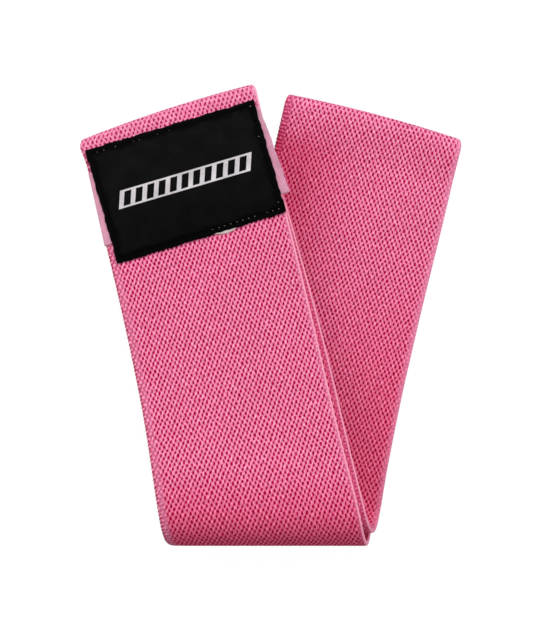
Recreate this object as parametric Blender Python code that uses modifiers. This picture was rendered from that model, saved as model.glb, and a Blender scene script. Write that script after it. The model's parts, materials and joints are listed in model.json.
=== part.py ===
"""Fabric resistance loop, pressed flat and folded once in the middle.

A closed loop of woven elastic webbing lies as two layers, the outer layer and the inner layer.
The flat loop is folded across its middle, so that it makes two legs: the rear leg lies on the
table, and the front leg comes back over it and carries the label. The fold is skewed, so the
legs spread into a narrow V.

Band coordinates, in which every piece is designed:
  s  along the band, 0 at the fold's outermost line, positive on the front leg, negative on the
     rear leg
  v  across the band, positive towards the right edge
  n  outwards from the surface half way between the two layers

place() bends these flat coordinates round the fold. Lengths are in metres, +Z is up, +Y runs
from the fold to the legs' ends.
"""

import math

import bmesh
import bpy
import numpy as np
from mathutils import Vector

# ---------------------------------------------------------------- driving dimensions

BAND_WIDTH = 0.0762
WEBBING_THICKNESS = 0.0018
LAYER_SPACE = 0.0020             # free height between the two layers, away from the turns

LEAN = math.radians(13.0)        # angle between each leg and the line square to the fold
FOLD_RADIUS = 0.0122             # of the surface half way between the layers
FRONT_LENGTH = 0.1903            # from the fold's outermost line to the front turn, mid-width
REAR_LENGTH = 0.1878
FRONT_END_SKEW = 0.077           # extra length at the right edge, per metre of width
REAR_END_SKEW = -0.031
TURN_RADIUS = 0.0038             # outer radius where the webbing turns back at a leg's end
TURN_RUN = 0.018                 # length over which the layers part before a turn
FRONT_END_HEIGHT = 0.0090        # of the front leg's mid-surface at its right edge
FRONT_END_DROP = 0.0049          # how much lower its left edge lies there

GAP = 0.0002                     # between pieces that touch
FOLD_GAP = 0.0005                # between the two halves, at the fold's outermost line
CLOTH = 0.0004                   # thickness of the webbing's face and lining cloth
LEFT_SELVEDGE = 0.0034
RIGHT_SELVEDGE = 0.0016
RUBBER_STRIPS = 5                # side by side in the webbing's core
GRIP_WIDTH = 0.0030
GRIP_THICKNESS = 0.00025
GRIP_PLACES = {"left": -0.018, "right": 0.018}

LABEL_WIDTH = 0.0733
LABEL_HEIGHT = 0.0486
LABEL_THICKNESS = 0.0005
LABEL_CENTRE = (0.1598, 0.0008)  # s, v
LABEL_TURN = math.radians(3.2)   # the label is sewn on a little askew
BACKING_INSET = 0.0015
BACKING_THICKNESS = 0.00015
TAPE_THICKNESS = 0.0003
TAPE_LENGTH = 0.0375             # along the band
TAPE_BELOW_TOP = 0.0035          # from the label's top edge to the tape's edge
TAPE_OVERHANG = 0.0022           # past the band's right edge
THREAD_RADIUS = 0.00015
SEAM_ROW_OFFSET = 0.0060         # from the webbing's cut ends to each row of seam stitching
LABEL_STITCH_INSET = 0.0020
LABEL_STITCH_END_GAP = 0.0010    # between two rows at a corner of the label

MOTIF_LENGTH = 0.0600
MOTIF_HEIGHT = 0.0074
MOTIF_BARS = 12
MOTIF_BAR_WIDTH = 0.0020
MOTIF_RAIL_WIDTH = 0.0008
MOTIF_SLANT = 0.35               # sideways shift of a bar per unit of its height
MOTIF_THICKNESS = 0.0002

# ---------------------------------------------------------------- worked-out dimensions

LAYER_OFFSET = (LAYER_SPACE + WEBBING_THICKNESS) / 2
TURN_OFFSET = TURN_RADIUS - WEBBING_THICKNESS / 2
MID_HEIGHT = LAYER_OFFSET + WEBBING_THICKNESS / 2
FOLD_AXIS_HEIGHT = MID_HEIGHT + FOLD_RADIUS
PIVOT_CLEARANCE = 0.001
FOLD_START = FOLD_GAP / 2 / math.cos(LEAN)

CLOTH_OFFSET = (WEBBING_THICKNESS - CLOTH) / 2
RUBBER_THICKNESS = WEBBING_THICKNESS - 2 * CLOTH - 2 * GAP
GRIP_OFFSET = -(WEBBING_THICKNESS / 2 + GAP + GRIP_THICKNESS / 2)

LEFT_EDGE = -BAND_WIDTH / 2
RIGHT_EDGE = BAND_WIDTH / 2
CLOTH_LEFT = LEFT_EDGE + LEFT_SELVEDGE + GAP
CLOTH_RIGHT = RIGHT_EDGE - RIGHT_SELVEDGE - GAP

# heights above the webbing's outer face of the middles of the pieces sewn onto it
TAPE_LEVEL = GAP + TAPE_THICKNESS / 2
SEAM_THREAD_LEVEL = TAPE_LEVEL + TAPE_THICKNESS / 2 + GAP + THREAD_RADIUS
BACKING_LEVEL = SEAM_THREAD_LEVEL + THREAD_RADIUS + GAP + BACKING_THICKNESS / 2
LABEL_LEVEL = BACKING_LEVEL + (BACKING_THICKNESS + LABEL_THICKNESS) / 2 + GAP
ON_LABEL = LABEL_LEVEL + LABEL_THICKNESS / 2 + GAP

# ---------------------------------------------------------------- how finely curves are cut

FOLD_STEPS = 6                   # per quarter of the fold
LEG_STEPS = 7
TURN_RUN_STEPS = 3
TURN_STEPS = 8
ARC_SAMPLES = 90
REACH_STEPS = 4                  # to find which line across the band a point lies on
LEG_SAMPLES = 240


# ---------------------------------------------------------------- small helpers

def mix(a, b, t):
    """The value a fraction t of the way from a to b."""
    return a + (b - a) * t


def ease(t):
    """Smooth step from 0 to 1, level at both ends."""
    t = min(max(t, 0.0), 1.0)
    return t * t * (3 - 2 * t)


def ease_slope(t):
    """Slope of ease() at t."""
    return 6 * t * (1 - t) if 0 < t < 1 else 0.0


def bezier(points, t):
    """Point and direction of a cubic Bezier curve in the side view."""
    a, b, c, d = (np.array(p) for p in points)
    r = 1 - t
    position = r ** 3 * a + 3 * r * r * t * b + 3 * r * t * t * c + t ** 3 * d
    along = 3 * r * r * (b - a) + 6 * r * t * (c - b) + 3 * t * t * (d - c)
    return position, along


# ---------------------------------------------------------------- the folded band's shape

class SideProfile:
    """Side view of the surface half way between the layers, by its length u from the fold.

    It runs level along the table from the rear leg's end, round half a circle at the fold, and
    then sinks in one long curve to the front leg's end.
    """

    def __init__(self):
        rear_end = FOLD_RADIUS + REAR_LENGTH + BAND_WIDTH
        samples = [((rear_end, MID_HEIGHT), math.pi)]
        for step in range(2 * ARC_SAMPLES + 1):
            turned = math.pi * step / (2 * ARC_SAMPLES)
            centre = (FOLD_RADIUS, FOLD_AXIS_HEIGHT)
            point = (centre[0] - FOLD_RADIUS * math.sin(turned),
                     centre[1] - FOLD_RADIUS * math.cos(turned))
            samples.append((point, math.pi - turned))
        samples += self.front_leg(samples[-1][0])
        self.y = np.array([point[0] for point, _ in samples])
        self.z = np.array([point[1] for point, _ in samples])
        self.direction = np.array([direction for _, direction in samples])
        lengths = np.hypot(np.diff(self.y), np.diff(self.z))
        self.u = np.concatenate(([0.0], np.cumsum(lengths)))
        self.u -= self.u[1 + ARC_SAMPLES]

    @staticmethod
    def front_leg(top):
        """Samples from the top of the fold down the front leg, and past its end."""
        end_y = top[0] + FRONT_LENGTH
        hand_up = (top[0] + 0.020, top[1])
        hand_down = (top[0] + 0.036, FRONT_END_HEIGHT + 0.0006)
        controls = (top, hand_up, hand_down, (end_y, FRONT_END_HEIGHT))
        samples = []
        for step in range(1, LEG_SAMPLES + 1):
            point, along = bezier(controls, step / LEG_SAMPLES)
            samples.append((tuple(point), math.atan2(along[1], along[0])))
        last, direction = samples[-1]
        beyond = (last[0] + BAND_WIDTH * math.cos(direction),
                  last[1] + BAND_WIDTH * math.sin(direction))
        samples.append((beyond, direction))
        return samples

    def at(self, u):
        """Position (y, z) and outward normal (ny, nz) at the length u."""
        y = float(np.interp(u, self.u, self.y))
        z = float(np.interp(u, self.u, self.z))
        direction = float(np.interp(u, self.u, self.direction))
        return y, z, -math.sin(direction), math.cos(direction)


PROFILE = SideProfile()


def place(s, v, n):
    """Point of the folded band for the band coordinates s, v and n."""
    x = v * math.cos(LEAN) - s * math.sin(LEAN)
    u = s * math.cos(LEAN) + v * math.sin(LEAN)
    y, z, normal_y, normal_z = PROFILE.at(u)
    drop = FRONT_END_DROP * ease(s / FRONT_LENGTH) * (0.5 - v / BAND_WIDTH)
    return Vector((x, y + n * normal_y, z + n * normal_z - drop))


class Station:
    """One line across the band, from which every strip's cross-section is measured.

    The line runs at s + slant * v. (out_s, out_n) is the webbing's outward normal there.
    """

    def __init__(self, s, slant, n, out_s, out_n):
        self.s = s
        self.slant = slant
        self.n = n
        self.out_s = out_s
        self.out_n = out_n

    def point(self, v, offset):
        """Point at v across the band, offset outwards from the webbing's middle."""
        s = self.s + self.slant * v + offset * self.out_s
        return place(s, v, self.n + offset * self.out_n)


class Leg:
    """The webbing's route along one leg, out on the outer layer and back on the inner one."""

    def __init__(self, side, length, end_skew, turn_middle):
        self.side = side
        self.end_skew = end_skew
        self.turn_middle = turn_middle
        self.fold_end = math.pi / 2 * FOLD_RADIUS / math.cos(LEAN)
        self.turn_start = length - TURN_RADIUS

    def slant(self, reach):
        """Slant of the line across at this distance from the fold.

        It follows the fold's own skew at the fold, and the skew of the turn at the leg's end.
        """
        t = (reach - self.fold_end) / (self.turn_start - self.fold_end)
        t = min(max(t, 0.0), 1.0)
        return mix(-math.tan(LEAN), self.side * self.end_skew, t)

    def layer(self, reach, outer):
        """Station on the outer (+1) or inner (-1) layer, at a distance from the fold."""
        t = (reach - self.turn_start + TURN_RUN) / TURN_RUN
        parted = self.turn_middle + outer * TURN_OFFSET
        n = mix(outer * LAYER_OFFSET, parted, ease(t))
        slope = (parted - outer * LAYER_OFFSET) * ease_slope(t) / TURN_RUN
        length = math.hypot(slope, 1.0)
        out_s = -outer * slope * self.side / length
        return Station(self.side * reach, self.slant(reach), n, out_s, outer / length)

    def reaches(self):
        """Distances from the fold at which the layers have a line across."""
        run_start = self.turn_start - TURN_RUN
        stretches = ((FOLD_START, self.fold_end, FOLD_STEPS),
                     (self.fold_end, run_start, LEG_STEPS),
                     (run_start, self.turn_start, TURN_RUN_STEPS))
        distances = [FOLD_START]
        for start, end, steps in stretches:
            distances += [mix(start, end, (k + 1) / steps) for k in range(steps)]
        return distances

    def turn(self):
        """Stations round the turn, between its two ends."""
        stations = []
        for step in range(1, TURN_STEPS):
            angle = math.pi / 2 - math.pi * step / TURN_STEPS
            out_s = self.side * math.cos(angle)
            s = self.side * self.turn_start + TURN_OFFSET * out_s
            n = self.turn_middle + TURN_OFFSET * math.sin(angle)
            stations.append(Station(s, self.slant(self.turn_start), n, out_s, math.sin(angle)))
        return stations

    def outer_between(self, start, end):
        """Stations on the outer layer from one distance to another."""
        inside = [r for r in self.reaches() if start < r < end]
        return [self.layer(r, 1) for r in [start] + inside + [end]]

    def round_turn(self, start, end):
        """Stations from start on the outer layer, round the turn, to end on the inner layer."""
        out = self.outer_between(start, self.turn_start)
        back = [r for r in self.reaches() if end < r < self.turn_start]
        returned = [self.layer(r, -1) for r in [self.turn_start] + back[::-1] + [end]]
        return out + self.turn() + returned


FRONT_LEG = Leg(1, FRONT_LENGTH, FRONT_END_SKEW, 0.0)
REAR_LEG = Leg(-1, REAR_LENGTH, REAR_END_SKEW, LAYER_OFFSET - TURN_OFFSET)

TAPE_TOP = LABEL_CENTRE[0] + LABEL_HEIGHT / 2 - TAPE_BELOW_TOP
SEAM = TAPE_TOP - TAPE_LENGTH / 2


# ---------------------------------------------------------------- materials

def make_material(name, colour, roughness):
    """Principled material with an even colour."""
    material = bpy.data.materials.new(name)
    material.use_nodes = True
    shader = material.node_tree.nodes["Principled BSDF"]
    shader.inputs["Base Color"].default_value = (*colour, 1.0)
    shader.inputs["Roughness"].default_value = roughness
    shader.inputs["Metallic"].default_value = 0.0
    material.diffuse_color = (*colour, 1.0)
    return material


COLOURS = {
    "face_cloth": ((0.72, 0.14, 0.29), 0.85),
    "lining_cloth": ((0.70, 0.16, 0.30), 0.85),
    "selvedge": ((0.76, 0.20, 0.35), 0.80),
    "rubber": ((0.78, 0.68, 0.48), 0.55),
    "grip": ((0.62, 0.12, 0.26), 0.50),
    "seam_tape": ((0.53, 0.24, 0.32), 0.75),
    "seam_thread": ((0.80, 0.28, 0.44), 0.60),
    "label_backing": ((0.84, 0.82, 0.76), 0.90),
    "label_cloth": ((0.008, 0.008, 0.009), 0.70),
    "label_thread": ((0.012, 0.012, 0.013), 0.55),
    "label_motif": ((0.64, 0.66, 0.67), 0.60),
}


# ---------------------------------------------------------------- building

class Builder:
    """Makes the objects of one body and hangs them under that body's empty."""

    def __init__(self, collection, empty, origin, materials):
        self.collection = collection
        self.empty = empty
        self.origin = Vector(origin)
        self.materials = materials

    def add(self, name, data, kind):
        """Puts mesh or curve data in the collection, as a child of the body's empty."""
        data.materials.append(self.materials[kind])
        piece = bpy.data.objects.new(name, data)
        piece.parent = self.empty
        self.collection.objects.link(piece)
        return piece

    def sheet(self, name, kind, columns, rows, locate, thickness):
        """Sheet of even thickness, whose middle is locate(column share, row number)."""
        mesh = bpy.data.meshes.new(name)
        bm = bmesh.new()
        bmesh.ops.create_grid(bm, x_segments=columns, y_segments=rows, size=1.0)
        for vertex in bm.verts:
            across = (vertex.co.x + 1) / 2
            row = round((vertex.co.y + 1) / 2 * rows)
            vertex.co = locate(across, row) - self.origin
        bm.to_mesh(mesh)
        bm.free()
        self.thicken(self.add(name, mesh, kind), thickness)

    @staticmethod
    def thicken(piece, thickness):
        """Makes an open surface a closed solid, half the thickness to each side."""
        solidify = piece.modifiers.new("thickness", "SOLIDIFY")
        solidify.thickness = thickness
        solidify.offset = 0.0
        solidify.use_even_offset = True

    def strip(self, name, kind, stations, edges, offset, thickness, columns=1):
        """Strip of webbing that follows the stations between two lines along the band."""
        def locate(across, row):
            return stations[row].point(mix(edges[0], edges[1], across), offset)
        self.sheet(name, kind, columns, len(stations) - 1, locate, thickness)

    def thread(self, name, kind, points):
        """Round thread through the points, with closed ends."""
        curve = bpy.data.curves.new(name, "CURVE")
        curve.dimensions = "3D"
        curve.bevel_depth = THREAD_RADIUS
        curve.bevel_resolution = 2
        curve.use_fill_caps = True
        spline = curve.splines.new("POLY")
        spline.points.add(len(points) - 1)
        for slot, point in zip(spline.points, points):
            slot.co = (*(point - self.origin), 1.0)
        self.add(name, curve, kind)


def build_webbing(builder, section, stations, grip_ends):
    """Cloths, selvedges, rubber and grip strips of one stretch of the webbing.

    grip_ends is how many stations to leave bare at the start of each grip strip.
    """
    cloth = (CLOTH_LEFT, CLOTH_RIGHT)
    builder.strip(section + "_face_cloth", "face_cloth", stations, cloth,
                  CLOTH_OFFSET, CLOTH, columns=2)
    builder.strip(section + "_lining_cloth", "lining_cloth", stations, cloth,
                  -CLOTH_OFFSET, CLOTH, columns=2)
    left = (LEFT_EDGE, LEFT_EDGE + LEFT_SELVEDGE)
    right = (RIGHT_EDGE - RIGHT_SELVEDGE, RIGHT_EDGE)
    for side, edges in (("left", left), ("right", right)):
        builder.strip(f"{section}_{side}_selvedge", "selvedge", stations, edges,
                      0.0, WEBBING_THICKNESS)
    pitch = (CLOTH_RIGHT - CLOTH_LEFT) / RUBBER_STRIPS
    for number in range(RUBBER_STRIPS):
        start = CLOTH_LEFT + number * pitch
        edges = (start + GAP, start + pitch - GAP)
        builder.strip(f"{section}_rubber_{number + 1}", "rubber", stations, edges,
                      0.0, RUBBER_THICKNESS)
    first, last = grip_ends
    for side, middle in GRIP_PLACES.items():
        edges = (middle - GRIP_WIDTH / 2, middle + GRIP_WIDTH / 2)
        builder.strip(f"{section}_{side}_grip", "grip", stations[first:last], edges,
                      GRIP_OFFSET, GRIP_THICKNESS)


def on_label(x, y, level):
    """Point at (x, y) from the label's middle, at a level above the webbing's outer face."""
    s = LABEL_CENTRE[0] + x * math.sin(LABEL_TURN) + y * math.cos(LABEL_TURN)
    v = LABEL_CENTRE[1] + x * math.cos(LABEL_TURN) - y * math.sin(LABEL_TURN)
    reach = s
    for _ in range(REACH_STEPS):
        reach = s - FRONT_LEG.slant(reach) * v
    return FRONT_LEG.layer(reach, 1).point(v, WEBBING_THICKNESS / 2 + level)


def build_panel(builder, name, kind, corners, level, thickness, columns=6, rows=8):
    """Flat cloth panel on the label's place; corners are (left, bottom, right, top)."""
    left, bottom, right, top = corners

    def locate(across, row):
        return on_label(mix(left, right, across), mix(bottom, top, row / rows), level)
    builder.sheet(name, kind, columns, rows, locate, thickness)


def build_seam(builder):
    """Tapes over and behind the webbing's cut ends, and the two rows of seam stitching."""
    top = LABEL_HEIGHT / 2 - TAPE_BELOW_TOP
    bottom = top - TAPE_LENGTH
    half = BAND_WIDTH / 2
    outer = (-half, bottom, half + TAPE_OVERHANG, top)
    inner = (-half + LEFT_SELVEDGE, bottom, half - LEFT_SELVEDGE, top)
    inner_level = -(WEBBING_THICKNESS + GAP + TAPE_THICKNESS / 2)
    build_panel(builder, "seam_tape_outer", "seam_tape", outer, TAPE_LEVEL, TAPE_THICKNESS)
    build_panel(builder, "seam_tape_inner", "seam_tape", inner, inner_level, TAPE_THICKNESS)
    middle = (top + bottom) / 2
    for side, y in (("upper", middle + SEAM_ROW_OFFSET), ("lower", middle - SEAM_ROW_OFFSET)):
        points = [on_label(mix(-half, half, k / 12), y, SEAM_THREAD_LEVEL) for k in range(13)]
        builder.thread(f"seam_stitch_{side}", "seam_thread", points)


def build_label(builder):
    """Label with its backing, and a row of stitching along each side."""
    half_width = LABEL_WIDTH / 2
    half_height = LABEL_HEIGHT / 2
    label = (-half_width, -half_height, half_width, half_height)
    backing = (-half_width + BACKING_INSET, -half_height, half_width - BACKING_INSET,
               half_height - BACKING_INSET)
    build_panel(builder, "label_backing", "label_backing", backing, BACKING_LEVEL,
                BACKING_THICKNESS)
    build_panel(builder, "label_cloth", "label_cloth", label, LABEL_LEVEL, LABEL_THICKNESS)
    x = half_width - LABEL_STITCH_INSET
    y = half_height - LABEL_STITCH_INSET
    side_y = y - LABEL_STITCH_END_GAP
    rows = {"top": ((-x, y), (x, y)), "bottom": ((-x, -y), (x, -y)),
            "left": ((-x, -side_y), (-x, side_y)), "right": ((x, -side_y), (x, side_y))}
    level = ON_LABEL + THREAD_RADIUS
    for side, (start, end) in rows.items():
        points = [on_label(mix(start[0], end[0], k / 10), mix(start[1], end[1], k / 10), level)
                  for k in range(11)]
        builder.thread(f"label_stitch_{side}", "label_thread", points)


def build_motif(builder):
    """Plain woven figure: a row of slanted bars between two rails, all in one piece."""
    mesh = bpy.data.meshes.new("label_motif")
    bm = bmesh.new()
    inner = MOTIF_HEIGHT / 2 - MOTIF_RAIL_WIDTH
    heights = (-MOTIF_HEIGHT / 2, -inner, inner, MOTIF_HEIGHT / 2)
    pitch = MOTIF_LENGTH / MOTIF_BARS
    columns = []
    for bar in range(MOTIF_BARS):
        middle = (bar + 0.5) * pitch - MOTIF_LENGTH / 2
        columns += [middle - MOTIF_BAR_WIDTH / 2, middle + MOTIF_BAR_WIDTH / 2]
    level = ON_LABEL + MOTIF_THICKNESS / 2
    grid = []
    for x in columns:
        line = [on_label(x + MOTIF_SLANT * y, y, level) - builder.origin for y in heights]
        grid.append([bm.verts.new(point) for point in line])
    for index, (near, far) in enumerate(zip(grid, grid[1:])):
        bar_is_here = index % 2 == 0
        for row in range(3):
            if row != 1 or bar_is_here:
                bm.faces.new((near[row], far[row], far[row + 1], near[row + 1]))
    bm.to_mesh(mesh)
    bm.free()
    builder.thicken(builder.add("label_motif", mesh, "label_motif"), MOTIF_THICKNESS)


def add_empty(name, collection, location, parent=None):
    """Empty that carries a body."""
    empty = bpy.data.objects.new(name, None)
    empty.location = location
    empty.parent = parent
    collection.objects.link(empty)
    return empty


def centre_on_table(empty, collection):
    """Moves the whole band so that its box stands on z = 0, centred on the Z axis."""
    bpy.context.view_layer.update()
    depsgraph = bpy.context.evaluated_depsgraph_get()
    points = []
    for piece in collection.objects:
        if piece.type != "EMPTY":
            evaluated = piece.evaluated_get(depsgraph)
            mesh = evaluated.to_mesh()
            points += [evaluated.matrix_world @ vertex.co for vertex in mesh.vertices]
            evaluated.to_mesh_clear()
    low = [min(point[axis] for point in points) for axis in range(3)]
    high = [max(point[axis] for point in points) for axis in range(3)]
    empty.location = (-(low[0] + high[0]) / 2, -(low[1] + high[1]) / 2, -low[2])
    bpy.context.view_layer.update()


def main():
    """Clears the scene and builds the band."""
    for old in list(bpy.data.objects):
        bpy.data.objects.remove(old, do_unlink=True)
    collection = bpy.data.collections.new("resistance_band")
    bpy.context.scene.collection.children.link(collection)
    materials = {name: make_material(name, *look) for name, look in COLOURS.items()}

    table = add_empty("rear_half_origin", collection, (0.0, 0.0, 0.0))
    pivot = Vector((0.0, -MID_HEIGHT - PIVOT_CLEARANCE, FOLD_AXIS_HEIGHT))
    hinge = add_empty("fold_hinge_axis", collection, pivot, table)
    rear = Builder(collection, table, (0.0, 0.0, 0.0), materials)
    front = Builder(collection, hinge, pivot, materials)

    whole = (0, None)
    rear_stations = REAR_LEG.round_turn(FOLD_START, FOLD_START)
    build_webbing(rear, "rear", rear_stations, whole)

    seam_gap = GAP / 2
    under_label = FRONT_LEG.outer_between(FOLD_START, SEAM - seam_gap)
    build_webbing(front, "front_outer", under_label, (0, -2))
    past_label = FRONT_LEG.round_turn(SEAM + seam_gap, FOLD_START)
    build_webbing(front, "front_inner", past_label, (TURN_RUN_STEPS + 2, None))
    build_seam(front)
    build_label(front)
    build_motif(front)
    centre_on_table(table, collection)


main()
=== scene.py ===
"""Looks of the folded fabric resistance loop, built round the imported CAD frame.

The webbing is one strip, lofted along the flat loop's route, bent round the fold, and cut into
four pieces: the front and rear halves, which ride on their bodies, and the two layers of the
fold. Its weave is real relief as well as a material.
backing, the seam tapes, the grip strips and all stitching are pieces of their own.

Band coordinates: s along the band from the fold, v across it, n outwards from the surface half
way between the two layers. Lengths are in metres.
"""

import json
import math

import bpy
import numpy as np
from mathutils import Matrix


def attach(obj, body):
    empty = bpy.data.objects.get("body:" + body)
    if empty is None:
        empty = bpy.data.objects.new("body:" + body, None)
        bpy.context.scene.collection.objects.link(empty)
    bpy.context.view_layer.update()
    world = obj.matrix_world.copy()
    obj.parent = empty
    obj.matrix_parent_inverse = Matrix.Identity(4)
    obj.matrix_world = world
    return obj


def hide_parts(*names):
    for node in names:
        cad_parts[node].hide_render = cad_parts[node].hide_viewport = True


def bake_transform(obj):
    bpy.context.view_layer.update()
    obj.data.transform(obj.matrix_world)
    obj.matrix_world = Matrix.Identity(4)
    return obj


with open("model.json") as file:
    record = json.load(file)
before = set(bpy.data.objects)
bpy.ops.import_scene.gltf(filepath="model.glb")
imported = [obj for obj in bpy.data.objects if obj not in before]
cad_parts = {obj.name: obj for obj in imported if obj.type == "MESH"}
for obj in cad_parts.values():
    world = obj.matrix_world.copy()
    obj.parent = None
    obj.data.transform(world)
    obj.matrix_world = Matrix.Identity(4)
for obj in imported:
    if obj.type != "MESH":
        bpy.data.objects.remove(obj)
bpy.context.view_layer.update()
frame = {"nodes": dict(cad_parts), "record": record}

TWO_PI = 2 * math.pi

# ---------------------------------------------------------------- sizes, as the CAD part has them

HINGE = frame["record"]["behaviour"]["joints"][0]["pos_m"]
BAND_WIDTH = 0.0762
THICKNESS = 0.0018
LAYER_SPACE = 0.0020
LEAN = math.radians(13.0)
FRONT_LENGTH = 0.1903
REAR_LENGTH = 0.1878
FRONT_END_SKEW = 0.077
REAR_END_SKEW = -0.031
FRONT_END_BOW = 0.0013           # how far the middle of each far end stands out past its corners
REAR_END_BOW = 0.0012
TURN_RADIUS = 0.0038
TURN_RUN = 0.018
FRONT_END_HEIGHT = 0.0090
FRONT_END_DROP = 0.0049
FRONT_TOP_RUN = 0.020            # how far the front leg keeps level past the fold
FRONT_FOOT_RUN = 0.036           # from the fold to where its curve heads for the far end
FRONT_FOOT_RISE = 0.0006
PIVOT_CLEARANCE = 0.001

LAYER_OFFSET = (LAYER_SPACE + THICKNESS) / 2
TURN_OFFSET = TURN_RADIUS - THICKNESS / 2
MID_HEIGHT = LAYER_OFFSET + THICKNESS / 2
FOLD_RADIUS = HINGE[2] - MID_HEIGHT
FOLD_Y = HINGE[1] + PIVOT_CLEARANCE + MID_HEIGHT

LABEL_WIDTH = 0.0733
LABEL_HEIGHT = 0.0486
LABEL_CENTRE = (0.1598, 0.0008)
LABEL_TURN = math.radians(3.2)
TAPE_LENGTH = 0.0375
TAPE_BELOW_TOP = 0.0035
FLAT_TAPE_OVERHANG = 0.0022      # past the band's right edge
SEAM = LABEL_CENTRE[0] + LABEL_HEIGHT / 2 - TAPE_BELOW_TOP - TAPE_LENGTH / 2

# ---------------------------------------------------------------- the weave

WEAVE_ACROSS = 0.00192           # from one hole to the next across the band
WEAVE_ALONG = 0.00316            # two rows, because every other row is offset by half a hole
WEAVE_RELIEF = 0.00016
HOLE_LEAN = 0.12                 # how far the holes lean to the right
LEAN_LEAST = -0.4                # the inner layer's lean, as a share of the outer one's
HOLE_RIM = 0.1                   # where a hollow starts, and how far its slope reaches
HOLE_SLOPE = 0.8
RIB_RELIEF = 0.00012
LEFT_LOOP_RELIEF = 0.00016       # of the weft's loops along the front leg's left edge
LEFT_SELVEDGE = 0.0034
RIGHT_SELVEDGE = 0.0016
SELVEDGE_STEP = 0.0006           # over which the relief changes from weave to ribs
BEAD_INSET = 0.0007              # of the smooth raised yarn along the right edge
BEAD_WIDTH = 0.0004
EDGE_ROUND = 0.0006
COLUMNS = 152
INNER_COLUMNS = 8
ROW_STEP = 0.00056
TURN_FINENESS = 1.3              # stations on a turn for each one on the same length of a leg
BEND_SHADE_RUN = 0.044                 # reach of the painted shade on the outside of the fold, which faces away from the light
FRONT_FAR_RUN = 0.011            # the calmer, paler weave next to each far end
REAR_FAR_RUN = 0.009
REAR_FAR_SHARE = 0.5
REAR_SHADE_START = 0.02             # painted shade on the rear leg's upper layer, inside the fold under the front leg
REAR_SHADE_RUN = 0.14
REAR_SHADE_SHARE = 0.80
LEG_SHADOW_START = 0.06              # painted shadow of the front leg on the rear leg beside it
LEG_SHADOW_RUN = 0.09
LEG_SHADOW_END = 0.007
LEG_SHADOW_END_RUN = 0.016
LEG_SHADOW_EDGE = 0.006
LEG_SHADOW_WIDTH = 0.042
FOLD_CUT = 0.034                 # from the fold's outermost line to where the halves start

WEBBING_PIECES = ("webbing_front", "webbing_fold_inner", "webbing_rear", "webbing_fold_outer")
GRIP_WIDTH = 0.0030
GRIP_THICKNESS = 0.00025
GRIP_GAP = 0.00003               # from the webbing's inner face
GRIP_PLACES = (-0.018, 0.018)
GRIP_STOP = 0.003


# ---------------------------------------------------------------- shape of the folded band

def mix(a, b, t):
    """The value a fraction t of the way from a to b."""
    return a + (b - a) * t


def ease(t):
    """Smooth step from 0 to 1, level at both ends."""
    t = np.clip(t, 0.0, 1.0)
    return t * t * (3 - 2 * t)


def ease_slope(t):
    """Slope of ease() at t."""
    t = np.clip(t, 0.0, 1.0)
    return 6 * t * (1 - t)


class SideProfile:
    """Side view of the surface half way between the layers, by its length u from the fold."""

    def __init__(self):
        turned = np.linspace(0, math.pi, 361)
        rear_end = FOLD_RADIUS + REAR_LENGTH + BAND_WIDTH
        fold_y = FOLD_RADIUS * (1 - np.sin(turned))
        fold_z = MID_HEIGHT + FOLD_RADIUS * (1 - np.cos(turned))
        top = np.array([fold_y[-1], fold_z[-1]])
        leg, along = self.front_leg(top)
        direction = np.arctan2(along[:, 1], along[:, 0])
        last = leg[-1] + BAND_WIDTH * np.array([math.cos(direction[-1]), math.sin(direction[-1])])
        self.y = np.concatenate(([rear_end], fold_y, leg[:, 0], [last[0]]))
        self.z = np.concatenate(([MID_HEIGHT], fold_z, leg[:, 1], [last[1]]))
        self.direction = np.concatenate(([math.pi], math.pi - turned, direction,
                                         [direction[-1]]))
        steps = np.hypot(np.diff(self.y), np.diff(self.z))
        self.u = np.concatenate(([0.0], np.cumsum(steps)))
        self.u -= self.u[1 + len(turned) // 2]

    @staticmethod
    def front_leg(top):
        """Points and directions down the front leg, on one cubic curve."""
        a = top
        b = top + np.array([FRONT_TOP_RUN, 0.0])
        c = np.array([top[0] + FRONT_FOOT_RUN, FRONT_END_HEIGHT + FRONT_FOOT_RISE])
        d = np.array([top[0] + FRONT_LENGTH, FRONT_END_HEIGHT])
        t = np.linspace(0, 1, 481)[1:, None]
        r = 1 - t
        points = r ** 3 * a + 3 * r * r * t * b + 3 * r * t * t * c + t ** 3 * d
        along = 3 * r * r * (b - a) + 6 * r * t * (c - b) + 3 * t * t * (d - c)
        return points, along

    def at(self, u):
        """Position (y, z) and outward normal (ny, nz) at the lengths u."""
        direction = np.interp(u, self.u, self.direction)
        y = np.interp(u, self.u, self.y)
        z = np.interp(u, self.u, self.z)
        return y, z, -np.sin(direction), np.cos(direction)


PROFILE = SideProfile()


def place(s, v, n):
    """Points of the folded band, one row of three for each s, v and n."""
    s, v, n = np.broadcast_arrays(s, v, n)
    x = v * math.cos(LEAN) - s * math.sin(LEAN)
    u = s * math.cos(LEAN) + v * math.sin(LEAN)
    y, z, normal_y, normal_z = PROFILE.at(u)
    drop = FRONT_END_DROP * ease(s / FRONT_LENGTH) * (0.5 - v / BAND_WIDTH)
    points = (x + HINGE[0], FOLD_Y + y + n * normal_y, z + n * normal_z - drop)
    return np.stack(points, axis=-1)


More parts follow.
